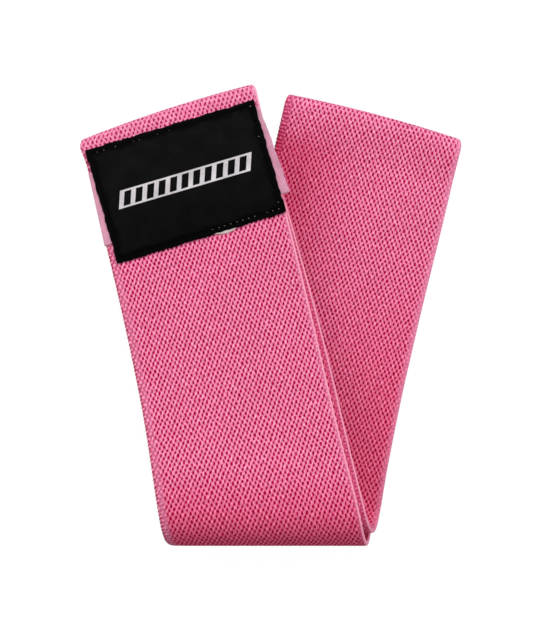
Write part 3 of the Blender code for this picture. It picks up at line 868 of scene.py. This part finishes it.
TAPE_TOP_LEVEL = 0.00035         # heights above the webbing's outer face
BACKING_TOP_LEVEL = 0.00055
LABEL_EDGE_LEVEL = 0.00095
LABEL_THICKNESS = 0.0004
WAVES = ((0.5, 430, 1.0), (0.3, 910, 2.1), (0.2, 1730, 0.7))  # size, rate and phase of each
TAPE_OVERHANG = 0.0038
TAPE_SLANT = 0.0060              # how much lower the tape's top left corner is than its right one
LABEL_DROOP = 0.0012             # how much lower the label's bottom left corner is
HEM_WIDTH = 0.0026               # of the label's folded hem, painted darker as shade, which wavers
HEM_WAVER = 0.0009
HEM_SOFTNESS = 0.0018
FRAY = 0.00026
PUFF = 0.00075                   # of the label's middle, above its sewn edge
PUFF_RUN = 0.0035
GROOVE_DEPTH = 0.00030
GROOVE_WIDTH = 0.00045
EDGE_ROLL = 0.00018              # how far the very edge rolls down
EDGE_ROLL_WIDTH = 0.0004
CRUMPLE = 0.00010
BACKING_INSET = 0.0015
PEEP_START = -0.0005             # the part of the backing that peeps out under the label
PEEP_LENGTH = 0.0180
PEEP_DEPTH = 0.0030
TAPE_TOP_OVERHANG = 0.0012
INNER_TAPE_INSET = 0.004
STITCH_INSET = 0.0021
STITCH_PITCH = 0.0026
STITCH_LENGTH = 0.0021
THREAD_RADIUS = 0.00014
SEAM_THREAD_RADIUS = 0.00010
SEAM_ROW_OFFSET = 0.006          # of each row of seam stitching from the join
SEAM_ROW_INSET = 0.002
SEAM_SINK = 0.00010
KNOT_RADIUS = 0.00013
KNOT_REACH = 0.00012             # from the middle of a knot to either end
KNOT_STRAY = 0.0004
KNOT_LIFT = 0.00012
TAPE_THICKNESS = 0.0003
BACKING_THICKNESS = 0.00015
INNER_TAPE_LEVEL = -(THICKNESS + 0.00005)


def on_label(x, y, level):
    """Points at (x, y) from the label's middle, at a level above the webbing's outer face."""
    x, y, level = (np.asarray(value, float) for value in np.broadcast_arrays(x, y, level))
    s = LABEL_CENTRE[0] + x * math.sin(LABEL_TURN) + y * math.cos(LABEL_TURN)
    v = LABEL_CENTRE[1] + x * math.cos(LABEL_TURN) - y * math.sin(LABEL_TURN)
    reach = s
    for _ in range(5):
        reach = s - FRONT.slant(reach) * v - FRONT.bow(reach) * arch(v)
    station = FRONT.layer(reach, 1)
    offset = THICKNESS / 2 + level
    return place(s + offset * station.out_s, v, station.n + offset * station.out_n)


def panel(name, x, y, level, thickness, material, **values):
    """Closed cloth panel; x, y and level are grids of its upper face on the label's place."""
    rows, columns = x.shape
    points = on_label(x, y, level).reshape(-1, 3)
    index = np.arange(rows * columns).reshape(rows, columns)
    faces = np.stack((index[:-1, :-1], index[:-1, 1:], index[1:, 1:], index[1:, :-1]), axis=-1)
    uv = np.stack((x, y), axis=-1).reshape(-1, 2)
    values = {key: value.ravel() for key, value in values.items()}
    piece = make_object(name, points, faces.reshape(-1, 4).tolist(), material, uv, **values)
    thicken(piece, thickness)
    return piece


def panel_grid(width, height, step):
    """Two grids that run from -0.5 to 0.5, rows by columns, for a panel of this size."""
    columns = max(2, round(width / step)) + 1
    rows = max(2, round(height / step)) + 1
    return np.meshgrid(np.linspace(-0.5, 0.5, columns), np.linspace(-0.5, 0.5, rows))


def wavy(t, phase):
    """Gentle irregular wave, from about -1 to 1, of a position in metres."""
    return sum(size * np.sin(t * rate + turn * phase) for size, rate, turn in WAVES)


def frayed(t, phase):
    """Gentle waves with small notches on them, as a cut and sewn edge has."""
    return wavy(t, phase) + 0.5 * np.sin(t * 4100 + phase) * np.sin(t * 2650 + 1.7 * phase)


def inward_of(x, y):
    """Distance from the label's nearest edge."""
    return np.minimum(LABEL_WIDTH / 2 - np.abs(x), LABEL_HEIGHT / 2 - np.abs(y))


def label_level(x, y):
    """Height of the label's upper face: a puffed middle, a sewn groove and a soft hem."""
    inward = inward_of(x, y)
    groove = np.exp(-((inward - STITCH_INSET) / GROOVE_WIDTH) ** 2)
    puff = 1 - np.exp(-np.maximum(inward - STITCH_INSET, 0) / PUFF_RUN)
    along = np.where(LABEL_WIDTH / 2 - np.abs(x) < LABEL_HEIGHT / 2 - np.abs(y), y, x)
    tug = 0.65 + 0.35 * np.cos(TWO_PI * along / STITCH_PITCH)
    rim = np.exp(-(inward / EDGE_ROLL_WIDTH) ** 2)
    crumple = wavy(x + 0.4 * y, 1.0) * wavy(y - 0.3 * x, 2.0)
    level = LABEL_EDGE_LEVEL + PUFF * puff - GROOVE_DEPTH * groove * tug
    return level - EDGE_ROLL * rim + CRUMPLE * crumple * puff


def tape_level(x, y):
    """Height at which the seam's stitches lie, sunk a little into the tape."""
    return np.full(np.broadcast(x, y).shape, TAPE_TOP_LEVEL - SEAM_SINK)


def build_label(material):
    """Black label with slightly wavy edges, painted darker as shade along its hem and towards its
    bottom.
    """
    gx, gy = panel_grid(LABEL_WIDTH, LABEL_HEIGHT, 0.00035)
    edge_x = (2 * np.abs(gx)) ** 8
    edge_y = (2 * np.abs(gy)) ** 8
    x = gx * LABEL_WIDTH
    y = gy * LABEL_HEIGHT
    level = label_level(x, y)
    inward = inward_of(x, y)
    hem = 1 - ease((inward - HEM_WIDTH - HEM_WAVER * wavy(x + y, 2.0)) / HEM_SOFTNESS)
    # Painted shade: darker towards the bottom, and darker still along the hem.
    light = mix(0.55, 1.0, ease(gy + 0.6)) * mix(1.0, 0.35, hem)
    x = x + FRAY * edge_x * frayed(y, 3.0 + np.sign(gx))
    y = y + FRAY * edge_y * frayed(x, 5.0 + np.sign(gy))
    y = y - LABEL_DROOP * (0.5 - gx) * (0.5 - gy)
    return panel("label_woven_cloth", x, y, level, LABEL_THICKNESS, material, light=light)


def build_backing(material):
    """White backing, which peeps out under the label's lower edge."""
    gx, gy = panel_grid(LABEL_WIDTH, LABEL_HEIGHT, 0.0008)
    x = gx * (LABEL_WIDTH - 2 * BACKING_INSET)
    peep = np.clip((x - PEEP_START) / PEEP_LENGTH, 0, 1)
    bulge = PEEP_DEPTH * np.sin(math.pi * peep ** 1.5) ** 0.7
    y = gy * (LABEL_HEIGHT - 2 * BACKING_INSET) - np.where(gy < 0, -2 * gy, 0) ** 6 * bulge
    level = np.full(x.shape, BACKING_TOP_LEVEL)
    return panel("label_white_backing", x, y, level, BACKING_THICKNESS, material)


def build_tape(material, level, name, inner=False):
    """Pale tape across the band, over or behind the webbing's join."""
    gx, gy = panel_grid(BAND_WIDTH, TAPE_LENGTH, 0.0009)
    top = LABEL_HEIGHT / 2 - TAPE_BELOW_TOP
    y = top + (gy - 0.5) * TAPE_LENGTH - TAPE_SLANT * (0.5 - gx) * (0.5 + gy)
    left = -BAND_WIDTH / 2 - LABEL_CENTRE[1] + y * math.tan(LABEL_TURN)
    fan = np.clip((top - y) / TAPE_LENGTH, 0, 1) ** 0.7
    right = LABEL_WIDTH / 2 + mix(TAPE_TOP_OVERHANG, TAPE_OVERHANG, fan)
    right = right + 0.00020 * wavy(y, 4.0)
    if inner:
        left = left + INNER_TAPE_INSET
        right = left + BAND_WIDTH - 2 * INNER_TAPE_INSET
    x = mix(left, right, gx + 0.5)
    return panel(name, x, y, np.full(x.shape, level), TAPE_THICKNESS, material)


def thread_curve(name, lines, radius, fineness, material):
    """Bits of thread, one along each line of points, as one curve object."""
    curve = bpy.data.curves.new(name, "CURVE")
    curve.dimensions = "3D"
    curve.bevel_depth = radius
    curve.bevel_resolution = fineness
    curve.use_fill_caps = True
    for points in lines:
        spline = curve.splines.new("POLY")
        spline.points.add(len(points) - 1)
        for slot, point in zip(spline.points, points):
            slot.co = (*point, 1.0)
    curve.materials.append(material)
    return add_object(name, curve)


def stitches(name, start, end, level, material, radius=THREAD_RADIUS):
    """Row of single stitches from start to end on the label's place."""
    start, end = np.array(start), np.array(end)
    length = np.linalg.norm(end - start)
    count = int(length // STITCH_PITCH)
    spread = np.linspace(-1, 1, 7)
    arc = radius * (1.1 - 2.2 * spread ** 4)
    lines = []
    for number in range(count):
        t = (number + 0.5) / count + STITCH_LENGTH / 2 / length * spread
        x, y = start[:, None] + (end - start)[:, None] * t
        lines.append(on_label(x, y, level(x, y) + arc))
    return thread_curve(name, lines, radius, 3, material)


def build_specks(material, rows):
    """Tiny knots of the light bobbin thread, which show at some stitches."""
    chooser = np.random.default_rng(7)
    lines = []
    for (start, end), share in rows:
        start, end = np.array(start), np.array(end)
        length = np.linalg.norm(end - start)
        along = (end - start) / length
        for number in range(int(length // STITCH_PITCH) + 1):
            wanted, step, lift = chooser.random(3)
            if wanted > share:
                continue
            middle = start + along * (number * STITCH_PITCH + KNOT_STRAY * step)
            x, y = np.array([middle - KNOT_REACH * along, middle + KNOT_REACH * along]).T
            lines.append(on_label(x, y, label_level(x, y) + KNOT_LIFT * lift))
    return thread_curve("bobbin_thread_knots", lines, KNOT_RADIUS, 2, material)


MOTIF_LENGTH = 0.0600
MOTIF_HEIGHT = 0.0074
MOTIF_BARS = 12
MOTIF_BAR_WIDTH = 0.0020
MOTIF_RAIL_WIDTH = 0.0008
MOTIF_SLANT = 0.35
MOTIF_THICKNESS = 0.00016
MOTIF_LIFT = 0.00010


def build_motif(material):
    """Plain woven figure: slanted bars between two rails, just proud of the label."""
    pitch = MOTIF_LENGTH / MOTIF_BARS
    inner = MOTIF_HEIGHT / 2 - MOTIF_RAIL_WIDTH
    first = pitch / 2 - MOTIF_LENGTH / 2
    fine = 4                         # faces across a bar, and across a gap
    edges = []
    for bar in range(MOTIF_BARS):
        middle = first + bar * pitch
        edges += list(np.linspace(middle - MOTIF_BAR_WIDTH / 2, middle + MOTIF_BAR_WIDTH / 2,
                                  fine + 1))
        if bar < MOTIF_BARS - 1:
            gap = pitch - MOTIF_BAR_WIDTH
            edges += list(middle + MOTIF_BAR_WIDTH / 2 + gap * np.arange(1, fine) / fine)
    heights = np.concatenate(([-MOTIF_HEIGHT / 2], np.linspace(-inner, inner, 13),
                              [MOTIF_HEIGHT / 2]))
    y, x = np.meshgrid(heights, np.array(edges), indexing="ij")
    x = x + MOTIF_SLANT * y
    points = on_label(x, y, label_level(x, y) + MOTIF_LIFT).reshape(-1, 3)
    rows, columns = x.shape
    faces = []
    for row in range(rows - 1):
        rail = row in (0, rows - 2)
        for column in range(columns - 1):
            on_bar = column % (2 * fine) < fine
            if rail or on_bar:
                corner = row * columns + column
                faces.append((corner, corner + 1, corner + columns + 1, corner + columns))
    used = sorted({index for face in faces for index in face})
    number = {old: new for new, old in enumerate(used)}
    faces = [tuple(number[index] for index in face) for face in faces]
    uv = np.stack((x, y), axis=-1).reshape(-1, 2)[used]
    piece = make_object("label_woven_motif", points[used], faces, material, uv, smooth=False)
    thicken(piece, MOTIF_THICKNESS)
    return piece


# ---------------------------------------------------------------- assembly

def cad_nodes(prefix, kinds):
    """Names of the CAD nodes that start with prefix and hold one of the kinds of piece."""
    return [name for name in frame["nodes"]
            if name.startswith(prefix) and any(kind in name for kind in kinds)]


LAYER_DIFFERENCE = 0.008         # how much longer or shorter a layer's fold is than the middle
# The fold's two layers by name, with heights on the fold's outermost line; only the names are
# used.
BEND_HEIGHTS = {"webbing_fold_inner": (0.0062, 0.0208), "webbing_fold_outer": (0.0033, 0.0232)}


def dress():
    """Builds every piece and ties it to the frame."""
    whole, marks = ring()
    webbing = build_webbing(webbing_material(), whole, marks)
    front, rear = webbing["webbing_front"], webbing["webbing_rear"]
    woven_in = ("cloth", "selvedge", "rubber")
    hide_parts(*cad_nodes("front_", woven_in))
    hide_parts(*cad_nodes("rear_", woven_in))
    tacky = cloth_material("tacky_rubber", (0.62, 0.10, 0.24), (0.50, 0.06, 0.17), 0.0008, 0.45)
    grips = build_grips(tacky, whole, marks)
    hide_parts(*cad_nodes("front_", ("grip",)))
    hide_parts(*cad_nodes("rear_", ("grip",)))

    fold = 2 * FOLD_CUT
    lengths = {"webbing_front": 2 * (FRONT_LENGTH - FOLD_CUT),
               "webbing_fold_inner": fold - LAYER_DIFFERENCE,
               "webbing_rear": 2 * (REAR_LENGTH - FOLD_CUT),
               "webbing_fold_outer": fold + LAYER_DIFFERENCE}
    for name, length in lengths.items():
        piece, strips = webbing[name], grips[name]
        for sewn in (piece, strips):
            if name in BEND_HEIGHTS:
                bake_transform(sewn)
            else:
                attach(sewn, "front_half" if piece is front else "rear_half")

    tape = cloth_material("pale_tape", (0.88, 0.50, 0.64), (0.46, 0.17, 0.26), 0.0013, 0.8)
    outer_tape = build_tape(tape, TAPE_TOP_LEVEL, "seam_tape_over_join")
    inner_tape = build_tape(tape, INNER_TAPE_LEVEL, "seam_tape_behind_join", inner=True)
    outer_width = BAND_WIDTH + FLAT_TAPE_OVERHANG
    inner_width = BAND_WIDTH - 2 * INNER_TAPE_INSET
    ride_sheet(outer_tape, "seam_tape", (outer_width, TAPE_LENGTH), front, "seam_tape_outer")
    ride_sheet(inner_tape, "seam_tape", (inner_width, TAPE_LENGTH), front, "seam_tape_inner")

    white = cloth_material("white_backing", (0.90, 0.88, 0.80), (0.78, 0.75, 0.66), 0.0005, 0.9)
    backing = build_backing(white)
    flat_backing = (LABEL_WIDTH - 2 * BACKING_INSET, LABEL_HEIGHT - 2 * BACKING_INSET)
    ride_sheet(backing, "label_backing", flat_backing, outer_tape, "label_backing")

    # On the black label the strong blotches are partly uneven tone and partly painted sheen
    # patches.
    black = cloth_material("black_label", (0.0092, 0.0102, 0.0100), (0.0, 0.0, 0.0),
                           0.00075, 0.60, sheen=0.0, gloss=0.02, uneven=1.6, shaded=True)
    label = build_label(black)
    ride_sheet(label, "label_cloth", (LABEL_WIDTH, LABEL_HEIGHT), backing, "label_cloth")

    grey = cloth_material("grey_figure", (0.86, 0.91, 0.91), (0.36, 0.37, 0.38), 0.00050, 0.6)
    motif = build_motif(grey)
    ride_piece(motif, "label_motif", "label_motif")

    black_thread = thread_material("black_thread", (0.002, 0.002, 0.002), (0.001, 0.001, 0.001))
    x = LABEL_WIDTH / 2 - STITCH_INSET
    y = LABEL_HEIGHT / 2 - STITCH_INSET
    rows = {"top": ((-x, y), (x, y)), "bottom": ((-x, -y - LABEL_DROOP), (x, -y)),
            "left": ((-x, -y - LABEL_DROOP), (-x, y)), "right": ((x, -y), (x, y))}
    for side, (start, end) in rows.items():
        row = stitches(f"label_stitching_{side}", start, end, label_level, black_thread)
        ride_piece(row, "label_thread", f"label_stitch_{side}")

    pale_thread = thread_material("pale_thread", (0.60, 0.55, 0.55), (0.36, 0.30, 0.32))
    right_half = ((0.0, -y - LABEL_DROOP / 2), (x, -y))
    specks = build_specks(pale_thread, [(rows["top"], 0.38), (right_half, 0.60),
                                        (rows["right"], 0.25), (rows["left"], 0.12)])
    ride_piece(specks, "label_thread")

    pink_thread = thread_material("pink_thread", (0.86, 0.34, 0.50), (0.66, 0.18, 0.32))
    middle = LABEL_HEIGHT / 2 - TAPE_BELOW_TOP - TAPE_LENGTH / 2
    half = LABEL_WIDTH / 2 - SEAM_ROW_INSET
    for side, away in (("upper", SEAM_ROW_OFFSET), ("lower", -SEAM_ROW_OFFSET)):
        row = stitches(f"seam_stitching_{side}", (-half, middle + away), (half, middle + away),
                       tape_level, pink_thread, radius=SEAM_THREAD_RADIUS)
        ride_piece(row, "seam_thread", f"seam_stitch_{side}")


def ride_piece(piece, slot, *nodes):
    """Piece that rides on the front half and stands for these CAD nodes."""
    if nodes:
        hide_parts(*nodes)
    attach(piece, "front_half")


def ride_sheet(piece, slot, flat, under, *nodes):
    """Cloth piece that rides on the front half and stands for these CAD nodes."""
    ride_piece(piece, slot, *nodes)


# ---------------------------------------------------------------- floor, light and camera

CAMERA_HEIGHT = 0.5
CAMERA_PLACE = (-0.0013, 0.00044)
VIEW_WIDTH = 0.2266              # of the picture, measured on the floor
FLOOR_BELOW = 0.0002
WALL_START = 2.0
WALL_RADIUS = 1.5
WALL_HEIGHT = 4.0
WALL_SIDES = 64
KEY_TINT = (0.98, 0.97, 0.98)
FILL_TINT = (1.0, 0.80, 0.86)
FLOOR_COLOUR = (0.06, 0.06, 0.06, 1.0)
FLOOR_GLOW = 0.97
STUDIO_GLOW = 0.13
LIGHTS = (                       # name, place, size, power and colour
    ("key_light", (0.30, 0.85, 0.85), 0.5, 4.7, KEY_TINT),
    ("top_light", (0.10, 0.55, 1.2), 1.4, 7.2, KEY_TINT),
    ("left_light", (-1.05, 0.35, 0.60), 1.1, 9.2, FILL_TINT),
    ("right_light", (1.0, 0.20, 0.36), 0.6, 4.2, FILL_TINT),
    ("front_light", (0.10, -1.1, 0.16), 0.7, 2.4, FILL_TINT),
)


def add_area(name, place_of_light, size, power, colour):
    """Square area light that points at the origin."""
    light = bpy.data.lights.new(name, "AREA")
    light.color = colour
    light.shape = "SQUARE"
    light.size = size
    light.energy = power
    lamp = add_object(name, light)
    lamp.location = place_of_light
    x, y, z = place_of_light
    yaw = math.atan2(-y, -x)
    down = math.atan2(z, math.hypot(x, y))
    lamp.rotation_euler = (math.pi / 2 - down, 0.0, yaw - math.pi / 2)


def build_stage():
    """White floor that curves up into a wall, soft studio light and the camera above."""
    turn = np.linspace(0, math.pi / 2, 9)
    across = np.concatenate((WALL_START + WALL_RADIUS * np.sin(turn), [WALL_START + WALL_RADIUS]))
    height = np.concatenate((WALL_RADIUS * (1 - np.cos(turn)), [WALL_HEIGHT])) - FLOOR_BELOW
    angle = TWO_PI * np.arange(WALL_SIDES) / WALL_SIDES
    points = np.stack((across[:, None] * np.cos(angle), across[:, None] * np.sin(angle),
                       height[:, None] + 0 * angle), axis=-1)
    faces = loft_faces(len(across), WALL_SIDES)[:-1]
    shader = Shader("white_floor", roughness=0.9)
    shader.feed(shader.principled.inputs["Base Color"], FLOOR_COLOUR)
    shader.feed(shader.principled.inputs["Emission Color"], (1.0, 1.0, 1.0, 1.0))
    shader.feed(shader.principled.inputs["Emission Strength"], FLOOR_GLOW)
    floor = make_object("floor", points.reshape(-1, 3), faces, shader.material)
    floor.visible_diffuse = False
    floor.visible_shadow = False

    for light in LIGHTS:
        add_area(*light)
    world = bpy.data.worlds.new("studio")
    world.use_nodes = True
    background = world.node_tree.nodes["Background"]
    background.inputs["Color"].default_value = (*FILL_TINT, 1.0)
    background.inputs["Strength"].default_value = STUDIO_GLOW
    bpy.context.scene.world = world

    data = bpy.data.cameras.new("camera")
    data.sensor_fit = "HORIZONTAL"
    data.lens = data.sensor_width * CAMERA_HEIGHT / VIEW_WIDTH
    data.clip_start = 0.01
    camera = add_object("camera", data)
    camera.location = (*CAMERA_PLACE, CAMERA_HEIGHT)
    bpy.context.scene.camera = camera
    bpy.context.scene.view_settings.view_transform = "Standard"


build_stage()
dress()
